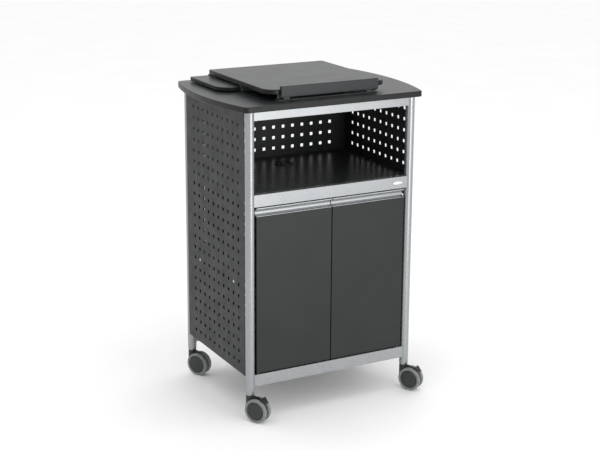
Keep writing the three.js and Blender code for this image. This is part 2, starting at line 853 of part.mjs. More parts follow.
// Facets are turned so that a flat, at the wheel's true radius, lies on the floor.
function wheelGeometry(side) {
  const scale = 1 / Math.cos(Math.PI / wheelSegments);
  const tread = (wheelDiameter / 2) * scale;
  const ring = wheelDiameter / 2 - wheelShoulder;
  const hub = ring - wheelRing;
  const bore = axleRadius + fit;
  const seat = axleEngagement + fit;
  const profile = [
    [0, seat],
    [bore, seat],
    [bore, 0],
    [tread - wheelTreadRadius, 0],
    [tread, wheelTreadRadius],
    [tread, wheelWidth - wheelShoulderWidth],
    [ring, wheelWidth],
    [hub, wheelWidth],
    [hub - wheelDish, wheelWidth - wheelDish],
    [0, wheelWidth - wheelHubCrown],
  ];
  const points = profile.map(([r, a]) => new THREE.Vector2(r, a));
  const wheel = new THREE.LatheGeometry(points, wheelSegments, Math.PI / wheelSegments);
  wheel.rotateZ(-Math.PI / 2);
  if (side < 0) wheel.rotateZ(Math.PI);
  return wheel.translate(side * (wheelGap / 2), -casterTrail, axleZ);
}

function hoodGeometry() {
  const web = casterWebThickness / 2;
  const collarBottom = casterHeight - casterCollarDrop;
  const collar = rodZ(0, 0, casterCollarRadius, collarBottom, hoodTop);
  const webShape = trailed([
    [-casterCollarRadius, collarBottom],
    [-casterCollarRadius, hoodTop],
    [casterCollarRadius, hoodTop],
    ...offsetBy(brakePivot, webTailFromPivot),
    ...offsetBy([casterTrail, axleZ], webFootFromAxle),
  ]);
  const stem = rodZ(0, 0, stemRadius, hoodTop - stemRoot, casterHeight + stemLength);
  const wheelRoom = axleZ + wheelClearance;
  const reach = wheelGap / 2 + wheelWidth + wheelClearance;
  const cuts = [];
  for (const side of [-1, 1]) {
    const edges = [side * (web + fit), side * reach].sort((a, b) => a - b);
    cuts.push(rodX(-casterTrail, axleZ, wheelRoom, edges[0], edges[1], wheelSegments));
  }
  const collarCut = carve([collar], cuts);
  const through = web + fit;
  const bore = rodX(-casterTrail, axleZ, axleRadius + fit, -through, through, pinSegments);
  const pocketRadius = brakeBarrelRadius + brakeBarrelClearance;
  const pocket = rodX(-brakePivot[0], brakePivot[1], pocketRadius, -through, through);
  return carve([collarCut, profileX(webShape, -web, web), stem], [bore, pocket]);
}

// A barrel that snaps into the hood, a neck between the wheels, and a foot pad above the tread.
function brakeGeometry() {
  const web = casterWebThickness / 2;
  const barrel = rodX(-brakePivot[0], brakePivot[1], brakeBarrelRadius, -web, web);
  const neck = trailed(offsetBy(brakePivot, brakeNeckFromPivot));
  const pad = trailed(offsetBy(brakePivot, brakePadFromPivot));
  return carve([
    barrel,
    profileX(neck, -web, web),
    profileX(pad, -brakePadWidth / 2, brakePadWidth / 2),
  ]);
}

function buildCaster(root, end, side) {
  const group = new THREE.Group();
  const place = nameEnd(end) + "_" + nameSide(side);
  group.position.set(side * postX, end * postY, 0);
  group.rotation.z = THREE.MathUtils.degToRad(casterYaw);
  addPiece(group, "caster_hood_" + place, hoodGeometry(), "plastic");
  const reach = wheelGap / 2 + axleEngagement;
  const axle = rodX(-casterTrail, axleZ, axleRadius, -reach, reach, pinSegments);
  addPiece(group, "caster_axle_" + place, axle, "steel");
  addPiece(group, "wheel_inner_" + place, wheelGeometry(-side), "wheel");
  addPiece(group, "wheel_outer_" + place, wheelGeometry(side), "wheel");
  if (end < 0) addPiece(group, "brake_lever_" + place, brakeGeometry(), "plastic");
  root.add(group);
}

// ---------------------------------------------------------------- assembly

const lectern = new THREE.Group();
buildFrame(lectern);
buildPanels(lectern);
buildShelves(lectern);
buildShelfClips(lectern);
buildGrommet(lectern);
for (const side of [-1, 1]) buildDoor(lectern, side);
buildDoorCatch(lectern);
buildBoard(lectern);
buildHinge(lectern);
buildProp(lectern);
buildTray(lectern);
for (const end of [-1, 1]) {
  for (const side of [-1, 1]) buildCaster(lectern, end, side);
}

// The origin is the middle of the footprint, on the floor.
const bounds = new THREE.Box3().setFromObject(lectern, true);
const middle = bounds.getCenter(new THREE.Vector3());
lectern.position.set(-middle.x, -middle.y, -bounds.min.z);

export default lectern;
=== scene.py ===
import json
import math

import bmesh
import bpy
from mathutils import Matrix, Vector


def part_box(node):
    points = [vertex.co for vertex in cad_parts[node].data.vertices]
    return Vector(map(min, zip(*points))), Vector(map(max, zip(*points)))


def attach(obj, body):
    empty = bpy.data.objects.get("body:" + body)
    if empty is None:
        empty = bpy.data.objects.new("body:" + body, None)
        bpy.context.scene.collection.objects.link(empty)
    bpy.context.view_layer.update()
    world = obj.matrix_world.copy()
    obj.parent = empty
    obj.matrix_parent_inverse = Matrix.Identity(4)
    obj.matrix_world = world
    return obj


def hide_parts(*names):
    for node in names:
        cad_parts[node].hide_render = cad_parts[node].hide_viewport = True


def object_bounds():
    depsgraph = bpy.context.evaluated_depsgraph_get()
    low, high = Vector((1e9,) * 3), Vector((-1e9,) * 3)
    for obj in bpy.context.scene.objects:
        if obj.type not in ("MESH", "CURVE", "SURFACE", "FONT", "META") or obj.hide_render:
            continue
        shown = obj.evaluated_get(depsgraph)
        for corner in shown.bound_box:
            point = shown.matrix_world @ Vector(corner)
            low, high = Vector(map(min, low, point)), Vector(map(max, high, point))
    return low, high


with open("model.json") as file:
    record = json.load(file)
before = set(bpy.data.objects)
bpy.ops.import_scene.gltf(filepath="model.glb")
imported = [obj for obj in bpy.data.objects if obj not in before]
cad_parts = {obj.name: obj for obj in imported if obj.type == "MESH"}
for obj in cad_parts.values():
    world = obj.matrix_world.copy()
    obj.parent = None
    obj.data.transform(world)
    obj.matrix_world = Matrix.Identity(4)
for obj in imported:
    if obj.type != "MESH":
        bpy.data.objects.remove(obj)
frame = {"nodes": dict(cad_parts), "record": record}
cad_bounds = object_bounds()

MM = 0.001
ENDS = ("front", "rear")
SIDES = ("left", "right")
CORNERS = [end + "_" + side for end in ENDS for side in SIDES]

# Sizes that the boxes of the CAD nodes don't give, in metres
POST_WALL = 1.5 * MM
POST_TAPER = 2 * MM
POST_TAPER_HEIGHT = 10 * MM
POST_FOOT_CHAMFER = 0.5 * MM
POST_FOOT_PLUG = 3 * MM  # how far the thick end of a post's wall stands inwards
POST_FOOT_PLUG_HEIGHT = 40 * MM
PERFORATION_PITCH = 35 * MM
PERFORATION_SIZE = 10 * MM
PERFORATION_CORNER = 1.4 * MM
SIDE_FIRST_COLUMN = 41.5 * MM  # from the front edge of a side panel
SIDE_FIRST_ROW = 33.8 * MM  # from the bottom edge of a side panel
BACK_MARGIN = 53 * MM  # least distance of a hole's centre from the back panel's side edge
WORKTOP_CORNER_X = 299 * MM
WORKTOP_EASE = 12 * MM
BOARD_FRONT_RADIUS = 38 * MM
BOARD_REAR_RADIUS = 6 * MM
TRAY_FRONT_RADIUS = 48 * MM
TRAY_REAR_RADIUS = 6 * MM
PULL_LIP = 6 * MM
PULL_LIP_PROUD = 1.5 * MM
PULL_FOOT_LIP = 2 * MM
CASTER_YAW = math.radians(30)
CASTER_TRAIL = 28 * MM
WHEEL_RADIUS = 37.5 * MM
WHEEL_WIDTH = 13 * MM
WHEEL_GAP = 10 * MM
WHEEL_STEPS = 96
TREAD_BORE = 29 * MM
TREAD_INNER_ROUND = 3.5 * MM
TREAD_OUTER_ROUND = 4 * MM
HUB_RADIUS = 28.7 * MM
BRAKE_PIVOT_AHEAD = 4 * MM
BRAKE_PIVOT_INSIDE = 5.5 * MM
BRAKE_BARREL_RADIUS = 5 * MM
BRAKE_WEB = 8 * MM
BRAKE_PAD_WIDTH = 26 * MM
BRAKE_TAPER = 0.75
BRAKE_TAPER_START = 14 * MM
BRAKE_TAPER_LENGTH = 20 * MM
# Outlines in millimetres from the brake's pivot: behind it, then above it
BRAKE_NECK = [(-1, 2.5), (15, 10), (18, 5), (1, -2.5)]
BRAKE_PAD = [(12, 7.6), (17, 5.6), (22, 2.2), (26, -1.2), (29.5, -2.9), (33.5, -1.6), (33.8, -0.8),
             (30, -0.4), (26.5, 2.4), (22, 6.4), (17, 9.8), (13.4, 10.8)]
BADGE_X = 229.5 * MM
BADGE_HALF_LENGTH = 18 * MM
BADGE_HALF_HEIGHT = 5 * MM
BADGE_PROUD = 1.6 * MM
BADGE_SUNK = 0.4 * MM
BADGE_STEPS = 48
CURVE_STEPS = 8


# ---------------------------------------------------------------- node materials


class Surface:
    """A Principled material whose colour, roughness and bump come from procedural texture."""

    def __init__(self, name, metallic=0.0, **sockets):
        self.material = bpy.data.materials.new(name)
        self.material.use_nodes = True
        self.nodes = self.material.node_tree.nodes
        self.links = self.material.node_tree.links
        self.shader = self.nodes["Principled BSDF"]
        self.shader.inputs["Metallic"].default_value = metallic
        for socket, value in sockets.items():
            self.shader.inputs[socket.replace("_", " ")].default_value = value
        self.coordinates = self.nodes.new("ShaderNodeTexCoord").outputs["Object"]

    def stretched(self, scale):
        """Coordinates with each axis scaled by its own number."""
        mapping = self.nodes.new("ShaderNodeMapping")
        mapping.inputs["Scale"].default_value = scale
        self.links.new(self.coordinates, mapping.inputs["Vector"])
        return mapping.outputs["Vector"]

    def noise(self, scale, detail=3.0, vector=None):
        node = self.nodes.new("ShaderNodeTexNoise")
        node.inputs["Scale"].default_value = scale
        node.inputs["Detail"].default_value = detail
        self.links.new(vector or self.coordinates, node.inputs["Vector"])
        return node.outputs["Fac"]

    def cells(self, scale):
        node = self.nodes.new("ShaderNodeTexVoronoi")
        node.inputs["Scale"].default_value = scale
        self.links.new(self.coordinates, node.inputs["Vector"])
        return node.outputs["Distance"]

    def ramp(self, value, low, high, start=0.35, end=0.65):
        """Runs from low to high as the value goes from start to end."""
        node = self.nodes.new("ShaderNodeMapRange")
        node.inputs["From Min"].default_value = start
        node.inputs["From Max"].default_value = end
        node.inputs["To Min"].default_value = low
        node.inputs["To Max"].default_value = high
        self.links.new(value, node.inputs["Value"])
        return node.outputs["Result"]

    def colours(self, value, low, high, start=0.35, end=0.65):
        node = self.nodes.new("ShaderNodeValToRGB")
        node.color_ramp.elements[0].position = start
        node.color_ramp.elements[0].color = (*low, 1)
        node.color_ramp.elements[1].position = end
        node.color_ramp.elements[1].color = (*high, 1)
        self.links.new(value, node.inputs["Fac"])
        return node.outputs["Color"]

    def mixed(self, factor, first, second):
        node = self.nodes.new("ShaderNodeMix")
        node.data_type = "RGBA"
        self.links.new(factor, node.inputs["Factor"])
        self.links.new(first, node.inputs["A"])
        self.links.new(second, node.inputs["B"])
        return node.outputs["Result"]

    def summed(self, first, second, weight):
        """The first value plus the second one times its weight."""
        node = self.nodes.new("ShaderNodeMath")
        node.operation = "MULTIPLY_ADD"
        node.inputs[1].default_value = weight
        self.links.new(second, node.inputs[0])
        self.links.new(first, node.inputs[2])
        return node.outputs["Value"]

    def edge_wear(self):
        """0 on flat and hollow places, 1 along the convex edges."""
        geometry = self.nodes.new("ShaderNodeNewGeometry")
        return self.ramp(geometry.outputs["Pointiness"], 0.0, 1.0, 0.52, 0.6)

    def colour(self, value):
        self.links.new(value, self.shader.inputs["Base Color"])

    def roughness(self, value):
        self.links.new(value, self.shader.inputs["Roughness"])

    def bump(self, height, distance, strength=1.0):
        node = self.nodes.new("ShaderNodeBump")
        node.inputs["Strength"].default_value = strength
        node.inputs["Distance"].default_value = distance
        self.links.new(height, node.inputs["Height"])
        self.links.new(node.outputs["Normal"], self.shader.inputs["Normal"])


def silver_powder_coat():
    s = Surface("silver_powder_coat", metallic=0.8)
    flakes = s.colours(s.cells(1100), (0.31, 0.323, 0.331), (0.335, 0.347, 0.355), 0.1, 0.8)
    drift = s.colours(s.noise(6), (0.31, 0.323, 0.331), (0.34, 0.352, 0.36))
    s.colour(s.mixed(s.noise(60), flakes, drift))
    s.roughness(s.ramp(s.noise(24), 0.25, 0.30))
    s.bump(s.noise(420, 2), 0.000006, 0.2)
    return s.material


def laminate(name, low, high, roughness, grain=0.00003, specular=0.5):
    s = Surface(name, Specular_IOR_Level=specular)
    fleck = s.colours(s.noise(1400, 2), low, high)
    cloud = s.colours(s.noise(9), low, high, 0.3, 0.7)
    s.colour(s.mixed(s.noise(45), fleck, cloud))
    s.roughness(s.ramp(s.noise(16), roughness - 0.01, roughness + 0.015))
    s.bump(s.summed(s.noise(900, 3), s.cells(650), 0.6), grain, 0.4)
    return s.material


def edge_band():
    s = Surface("vinyl_edge_band", Specular_IOR_Level=0.3)
    streaks = s.noise(40, 4, s.stretched((1, 1, 30)))
    s.colour(s.colours(streaks, (0.003, 0.0033, 0.0035), (0.007, 0.0076, 0.008)))
    s.roughness(s.ramp(s.noise(60), 0.34, 0.44))
    s.bump(streaks, 0.00003, 0.3)
    return s.material


def black_sheet_coat():
    s = Surface("black_sheet_coat", Specular_IOR_Level=0.26)
    speck = s.colours(s.cells(1300), (0.010, 0.0108, 0.0115), (0.019, 0.0205, 0.0215), 0.1, 0.8)
    drift = s.colours(s.noise(6), (0.013, 0.014, 0.0148), (0.017, 0.0183, 0.0192))
    s.colour(s.mixed(s.noise(70), speck, drift))
    s.roughness(s.ramp(s.noise(30), 0.40, 0.5))
    s.bump(s.noise(620, 2), 0.00004, 0.5)
    return s.material


def moulded_plastic():
    s = Surface("moulded_plastic", Specular_IOR_Level=0.45)
    s.colour(s.colours(s.noise(120, 4), (0.007, 0.0073, 0.0077), (0.013, 0.0135, 0.014)))
    s.roughness(s.ramp(s.noise(80), 0.36, 0.48))
    s.bump(s.cells(2200), 0.00004, 0.4)
    return s.material


def hub_plastic():
    s = Surface("hub_plastic", Specular_IOR_Level=0.45)
    s.colour(s.colours(s.noise(90, 4), (0.016, 0.0182, 0.018), (0.026, 0.029, 0.0287)))
    s.roughness(s.ramp(s.noise(70), 0.36, 0.5))
    s.bump(s.cells(2000), 0.00003, 0.4)
    return s.material


def tread_rubber():
    s = Surface("tread_rubber", Specular_IOR_Level=0.4)
    s.colour(s.colours(s.noise(110, 5), (0.15, 0.158, 0.159), (0.20, 0.209, 0.21)))
    s.roughness(s.ramp(s.noise(90), 0.5, 0.66))
    s.bump(s.noise(900, 3), 0.00006, 0.5)
    return s.material


def zinc_plate():
    s = Surface("zinc_plate", metallic=0.95)
    brushed = s.noise(300, 5, s.stretched((1, 12, 1)))
    s.colour(s.colours(brushed, (0.42, 0.43, 0.44), (0.62, 0.63, 0.64)))
    s.roughness(s.ramp(brushed, 0.24, 0.4))
    s.bump(brushed, 0.00003, 0.4)
    return s.material


def polished_badge():
    s = Surface("polished_badge", metallic=0.6)
    s.colour(s.colours(s.noise(400, 3), (0.6, 0.61, 0.62), (0.68, 0.69, 0.70)))
    s.roughness(s.ramp(s.noise(200), 0.2, 0.28))
    s.bump(s.noise(700, 2), 0.00001, 0.3)
    return s.material


def black_steel_coat():
    s = Surface("black_steel_coat", metallic=0.2)
    base = s.colours(s.noise(150, 4), (0.010, 0.011, 0.012), (0.020, 0.0215, 0.0225))
    bare = s.colours(s.noise(300, 2), (0.07, 0.072, 0.075), (0.12, 0.122, 0.125))
    s.colour(s.mixed(s.edge_wear(), base, bare))
    s.roughness(s.ramp(s.noise(50), 0.38, 0.52))
    s.bump(s.noise(800, 2), 0.00004, 0.5)
    return s.material


# What each finish looks like
MATERIALS = {
    "silver": silver_powder_coat(),
    "laminate": laminate(
        "black_laminate", (0.0125, 0.0148, 0.0162), (0.0195, 0.0226, 0.0245), 0.34, specular=0.36
    ),
    "door": laminate(
        "charcoal_laminate", (0.0125, 0.0136, 0.0137), (0.0185, 0.0198, 0.0199), 0.42, specular=0.3
    ),
    "edge": edge_band(),
    "sheet": black_sheet_coat(),
    "plastic": moulded_plastic(),
    "hub": hub_plastic(),
    "tread": tread_rubber(),
    "zinc": zinc_plate(),
    "badge": polished_badge(),
    "shelf": laminate(
        "polished_laminate", (0.018, 0.0196, 0.0202), (0.026, 0.028, 0.029), 0.29, grain=0.000001
    ),
    "black_steel": black_steel_coat(),
}


# ---------------------------------------------------------------- mesh helpers


def body_of_node(node):
    for body, members in frame["record"]["behaviour"]["bodies"].items():
        if node in members:
            return body
    raise ValueError(node + " is on no body")


def add_object(name, mesh_data):
    obj = bpy.data.objects.new(name, mesh_data)
    bpy.context.scene.collection.objects.link(obj)
    return obj


def mesh_from(name, bm):
    bmesh.ops.recalc_face_normals(bm, faces=bm.faces)
    mesh = bpy.data.meshes.new(name)
    bm.to_mesh(mesh)
    bm.free()
    return mesh


def shade(obj):
    """Shades a piece smoothly, with its large faces kept flat."""
    obj.data.shade_smooth()
    weights = obj.modifiers.new("normals", "WEIGHTED_NORMAL")
    weights.keep_sharp = False


def soften(obj, width, segments=2, angle=35):
    """Rounds the edges sharper than the angle, and shades what is left smoothly."""
    bevel = obj.modifiers.new("edges", "BEVEL")
    bevel.width = width
    bevel.segments = segments
    bevel.limit_method = "ANGLE"
    bevel.angle_limit = math.radians(angle)
    bevel.use_clamp_overlap = True
    shade(obj)


def settle(obj, body, finish, node=None):
    """Gives a piece its material if it has none, puts it on its body, and lets it stand for a node."""
    if not obj.data.materials:
        obj.data.materials.append(MATERIALS[finish])
    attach(obj, body)
    if node:
        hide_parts(node)


def refined(node, finish, width, segments=2):
    """A copy of a CAD node with its coplanar facets joined and its edges rounded."""
    source = frame["nodes"][node]
    bm = bmesh.new()
    bm.from_mesh(source.data)
    bmesh.ops.remove_doubles(bm, verts=bm.verts, dist=2e-6)
    bmesh.ops.dissolve_limit(
        bm, angle_limit=math.radians(1), verts=bm.verts, edges=bm.edges, delimit=set()
    )
    obj = add_object(node + "_looks", mesh_from(node + "_looks", bm))
    soften(obj, width, segments)
    settle(obj, body_of_node(node), finish, node)
    return obj


def prism(bm, outline, low, high, place):
    """Raises an outline from low to high; place turns (a, b, height) into a point."""
    rings = [[bm.verts.new(place(a, b, h)) for a, b in outline] for h in (low, high)]
    bm.faces.new(rings[0])
    bm.faces.new(rings[1])
    count = len(outline)
    for i in range(count):
        j = (i + 1) % count
        bm.faces.new((rings[0][i], rings[0][j], rings[1][j], rings[1][i]))


def upright(a, b, height):
    return Vector((a, b, height))


def along_x(a, b, height):
    return Vector((height, a, b))


def along_y(a, b, height):
    return Vector((a, height, b))


def arc(centre, radius, start, end, steps):
    """Points on a circle, from one angle in degrees to another."""
    points = []
    for i in range(steps + 1):
        angle = math.radians(start + (end - start) * i / steps)
        points.append((centre[0] + radius * math.cos(angle), centre[1] + radius * math.sin(angle)))
    return points


def rounded_outline(low, high, radii, steps=12):
    """A rectangle's outline; radii go round it from the low-low corner."""
    (a0, b0), (a1, b1) = low, high
    corners = [(a0, b0, 1, 1, 180), (a1, b0, -1, 1, 270), (a1, b1, -1, -1, 0), (a0, b1, 1, -1, 90)]
    outline = []
    for (a, b, da, db, start), radius in zip(corners, radii):
        if radius:
            centre = (a + da * radius, b + db * radius)
            outline += arc(centre, radius, start, start + 90, steps)
        else:
            outline.append((a, b))
    return outline


def lathe(bm, profile, turn, steps=64):
    """Turns a profile of (radius, height) points; turn maps a point about +Z to its place."""
    rings = []
    for radius, height in profile:
        if radius == 0:
            rings.append([bm.verts.new(turn @ Vector((0, 0, height)))])
            continue
        ring = []
        for i in range(steps):
            angle = 2 * math.pi * i / steps
            point = Vector((radius * math.cos(angle), radius * math.sin(angle), height))
            ring.append(bm.verts.new(turn @ point))
        rings.append(ring)
    for low, high in zip(rings, rings[1:]):
        for i in range(steps):
            j = (i + 1) % steps
            if len(low) == 1:
                bm.faces.new((low[0], high[i], high[j]))
            elif len(high) == 1:
                bm.faces.new((low[i], low[j], high[0]))
            else:
                bm.faces.new((low[i], low[j], high[j], high[i]))


def turned(name, profile, turn, steps=64):
    bm = bmesh.new()
    lathe(bm, profile, turn, steps)
    return add_object(name, mesh_from(name, bm))


def band_edges(obj, up=Vector((0, 0, 1))):
    """Puts the edge band's material on every face that doesn't look along the given axis."""
    obj.data.materials.append(MATERIALS["edge"])
    for face in obj.data.polygons:
        if abs(face.normal.dot(up)) < 0.5:
            face.material_index = 1


# ---------------------------------------------------------------- frame


def build_posts():
    for corner in CORNERS:
        node = "post_" + corner
        low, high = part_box(node)
        centre = (low + high) / 2
        radius = (high.x - low.x) / 2
        bore = radius - POST_WALL
        plug = bore - POST_FOOT_PLUG
        plug_top = low.z + POST_FOOT_PLUG_HEIGHT
        profile = [(plug, low.z), (radius - POST_TAPER - POST_FOOT_CHAMFER, low.z)]
        for i in range(CURVE_STEPS + 1):
            rise = i / CURVE_STEPS
            height = POST_FOOT_CHAMFER + (POST_TAPER_HEIGHT - POST_FOOT_CHAMFER) * rise
            profile.append((radius - POST_TAPER * (1 - rise) ** 2, low.z + height))
        profile += [(radius, high.z), (bore, high.z)]
        profile += [(bore, plug_top), (plug, plug_top), (plug, low.z)]
        obj = turned(node + "_looks", profile, Matrix.Translation((centre.x, centre.y, 0)))
        shade(obj)
        settle(obj, "frame", "silver", node)


def build_rails():
    for place in ("front_top", "front_middle", "front_bottom", "rear_top", "rear_bottom"):
        refined(place + "_rail", "silver", 1.6 * MM, 3)


def build_badge():
    """A small blank oval plate on the right of the middle rail."""
    low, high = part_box("front_middle_rail")
    centre = Vector((BADGE_X, low.y, (low.z + high.z) / 2))
    bm = bmesh.new()
    outline = []
    for i in range(BADGE_STEPS):
        angle = 2 * math.pi * i / BADGE_STEPS
        outline.append((centre.x + BADGE_HALF_LENGTH * math.cos(angle),
                        centre.z + BADGE_HALF_HEIGHT * math.sin(angle)))
    prism(bm, outline, centre.y - BADGE_PROUD, centre.y + BADGE_SUNK, along_y)
    obj = add_object("blank_badge", mesh_from("blank_badge", bm))
    soften(obj, 0.7 * MM, 3)
    settle(obj, "frame", "badge")


# ---------------------------------------------------------------- perforated panels


def perforated_face(bm, origin, across, up, columns, rows, low, high, bottom, top):
    """A flat sheet's face with a round-cornered square hole at each crossing."""
    half_cell = PERFORATION_PITCH / 2
    half = PERFORATION_SIZE / 2
    corner = half - PERFORATION_CORNER
    grid = {}

    def vertex(a, b):
        key = (round(a * 1e6), round(b * 1e6))
        if key not in grid:
            grid[key] = bm.verts.new(origin + across * a + up * b)
        return grid[key]

    def quad(a0, a1, b0, b1):
        bm.faces.new((vertex(a0, b0), vertex(a1, b0), vertex(a1, b1), vertex(a0, b1)))

    for a in columns:
        for b in rows:
            arcs = []
            for quarter, (sa, sb) in enumerate(((1, 1), (-1, 1), (-1, -1), (1, -1))):
                centre = (a + sa * corner, b + sb * corner)
                start = 90 * quarter
                points = arc(centre, PERFORATION_CORNER, start, start + 90, 3)
                ring = [bm.verts.new(origin + across * p + up * q) for p, q in points]
                outer = vertex(a + sa * half_cell, b + sb * half_cell)
                for first, second in zip(ring, ring[1:]):
                    bm.faces.new((outer, second, first))
                arcs.append((outer, ring))
            for quarter in range(4):
                outer, ring = arcs[quarter]
                next_outer, next_ring = arcs[(quarter + 1) % 4]
                bm.faces.new((outer, next_outer, next_ring[0], ring[-1]))

    edges_a = [columns[0] - half_cell] + [a + half_cell for a in columns]
    edges_b = [rows[0] - half_cell] + [b + half_cell for b in rows]
    for a0, a1 in zip(edges_a, edges_a[1:]):
        quad(a0, a1, bottom, edges_b[0])
        quad(a0, a1, edges_b[-1], top)
    for b0, b1 in zip(edges_b, edges_b[1:]):
        quad(low, edges_a[0], b0, b1)
        quad(edges_a[-1], high, b0, b1)
    for a0, a1 in ((low, edges_a[0]), (edges_a[-1], high)):
        quad(a0, a1, bottom, edges_b[0])
        quad(a0, a1, edges_b[-1], top)


def add_panel(node, across, columns, rows):
    low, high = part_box(node)
    is_side = abs(across.y) > 0.5
    thickness = high.x - low.x if is_side else high.y - low.y
    bm = bmesh.new()
    origin = Vector((low.x, 0, 0)) if is_side else Vector((0, low.y, 0))
    spans = (low.y, high.y) if is_side else (low.x, high.x)
    perforated_face(bm, origin, across, Vector((0, 0, 1)), columns, rows, *spans, low.z, high.z)
    extruded = bmesh.ops.extrude_face_region(bm, geom=list(bm.faces))
    push = Vector((thickness, 0, 0)) if is_side else Vector((0, thickness, 0))
    moved = [v for v in extruded["geom"] if isinstance(v, bmesh.types.BMVert)]
    bmesh.ops.translate(bm, verts=moved, vec=push)
    obj = add_object(node + "_looks", mesh_from(node + "_looks", bm))
    soften(obj, 0.3 * MM, 1, 60)
    settle(obj, "frame", "sheet", node)


def build_panels():
    low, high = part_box("side_panel_left")
    count = int((high.z - low.z - 2 * SIDE_FIRST_ROW + 0.001) / PERFORATION_PITCH) + 1
    rows = [low.z + SIDE_FIRST_ROW + i * PERFORATION_PITCH for i in range(count)]
    count = int((high.y - low.y - 2 * SIDE_FIRST_COLUMN) / PERFORATION_PITCH) + 1
    columns = [low.y + SIDE_FIRST_COLUMN + i * PERFORATION_PITCH for i in range(count)]
    for side in SIDES:
        add_panel("side_panel_" + side, Vector((0, 1, 0)), columns, rows)

    low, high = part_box("back_panel")
    count = int((high.x - low.x - 2 * BACK_MARGIN) / PERFORATION_PITCH) + 1
    first = -(count - 1) / 2 * PERFORATION_PITCH
    columns = [first + i * PERFORATION_PITCH for i in range(count)]
    add_panel("back_panel", Vector((1, 0, 0)), columns, rows)


# ---------------------------------------------------------------- worktop, board, ledge, tray


def worktop_outline():
    low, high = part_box("worktop")
    middle = (low.y + high.y) / 2
    half_depth = (high.y - low.y) / 2
    bow = high.x - WORKTOP_CORNER_X
    radius = (half_depth**2 + bow**2) / (2 * bow)
    centre = high.x - radius
    sweep = math.degrees(math.asin((half_depth - WORKTOP_EASE) / radius))
    right = arc((centre, middle), radius, -sweep, sweep, 40)
    outline = []
    for points in (right, [(-x, 2 * middle - y) for x, y in right]):
        side = 1 if points is right else -1
        flat = (side * (WORKTOP_CORNER_X - WORKTOP_EASE), middle - side * half_depth)
        corner = (side * WORKTOP_CORNER_X, middle - side * half_depth)
        outline += eased(flat, corner, points[0]) + points[1:-1]
        flat = (flat[0], middle + side * half_depth)
        corner = (corner[0], middle + side * half_depth)
        outline += eased(points[-1], corner, flat)
    return outline


def eased(start, corner, end):
    """The quadratic curve that rounds a corner."""
    points = []
    for i in range(CURVE_STEPS + 1):
        t = i / CURVE_STEPS
        weights = ((1 - t) ** 2, 2 * t * (1 - t), t * t)
        points.append(tuple(
            weights[0] * start[k] + weights[1] * corner[k] + weights[2] * end[k] for k in (0, 1)
        ))
    return points


def add_slab(node, outline, finish, width):
    low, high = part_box(node)
    bm = bmesh.new()
    prism(bm, outline, low.z, high.z, upright)
    obj = add_object(node + "_looks", mesh_from(node + "_looks", bm))
    obj.data.materials.append(MATERIALS[finish])
    band_edges(obj)
    soften(obj, width, 4)
    settle(obj, body_of_node(node), finish, node)


def build_tops():
    add_slab("worktop", worktop_outline(), "laminate", 2.5 * MM)

    low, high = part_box("lectern_board")
    radii = [BOARD_FRONT_RADIUS] * 2 + [BOARD_REAR_RADIUS] * 2
    add_slab("lectern_board", rounded_outline(low.xy, high.xy, radii, 20), "laminate", 1.6 * MM)

    low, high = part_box("mouse_tray")
    radii = [TRAY_FRONT_RADIUS, 0, 0, TRAY_REAR_RADIUS]
    add_slab("mouse_tray", rounded_outline(low.xy, high.xy, radii, 20), "laminate", 1.4 * MM)

    low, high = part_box("paper_ledge")
    bm = bmesh.new()
    outline = rounded_outline(low.yz, high.yz, [0, 0, 3 * MM, 3 * MM], 8)
    prism(bm, outline, low.x, high.x, along_x)
    obj = add_object("paper_ledge_looks", mesh_from("paper_ledge_looks", bm))
    soften(obj, 1.2 * MM, 3)
    settle(obj, "board", "laminate", "paper_ledge")


def build_shelves():
    for node in ("upper_shelf", "base_panel", "adjustable_shelf"):
        obj = refined(node, "shelf", 0.8 * MM)
        band_edges(obj)


# ---------------------------------------------------------------- doors


def build_doors():
    for side in SIDES:
        node = "door_" + side
        low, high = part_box(node)
        bm = bmesh.new()
        prism(bm, rounded_outline(low.xy, high.xy, [0] * 4), low.z, high.z, upright)
        obj = add_object(node + "_looks", mesh_from(node + "_looks", bm))
        obj.data.materials.append(MATERIALS["door"])
        band_edges(obj, up=Vector((0, 1, 0)))
        soften(obj, 1.0 * MM, 3)
        settle(obj, "door_" + side, "door", node)
        build_pull(side)
        for end in ("top", "bottom"):
            refined("door_pin_" + end + "_" + side, "zinc", 0.4 * MM)


def build_pull(side):
    node = "door_pull_" + side
    low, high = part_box(node)
    front = low.y + PULL_LIP_PROUD
    nose = PULL_LIP / 2
    nose_y = low.y + nose
    hollow_bottom = low.z + PULL_FOOT_LIP
    hollow = (high.z - PULL_LIP - hollow_bottom) / 2
    outline = [(high.y, low.z), (high.y, high.z)]
    outline += arc((nose_y, high.z - nose), nose, 90, 270, 16)
    outline += arc((nose_y, hollow_bottom + hollow), hollow, 90, -90, 28)[1:]
    outline += [(front, hollow_bottom), (front, low.z)]
    bm = bmesh.new()
    prism(bm, outline, low.x, high.x, along_x)
    obj = add_object(node + "_looks", mesh_from(node + "_looks", bm))
    soften(obj, 0.5 * MM, 2, 40)
    settle(obj, "door_" + side, "silver", node)


def build_inner_fittings():
    refined("door_catch", "plastic", 1.2 * MM, 3)
    for corner in CORNERS:
        refined("shelf_clip_" + corner, "zinc", 0.6 * MM)
    refined("cable_grommet", "plastic", 0.8 * MM, 2)


# ---------------------------------------------------------------- hinge, prop and guides


def build_mechanism():
    for node in ("hinge_base", "hinge_leaf", "prop_bracket", "prop_track"):
        refined(node, "black_steel", 0.35 * MM)
    for end in ENDS:
        refined("tray_guide_" + end, "black_steel", 0.5 * MM)
    refined("hinge_rod", "zinc", 0.5 * MM)
    refined("prop_stay", "zinc", 0.6 * MM)


# ---------------------------------------------------------------- casters


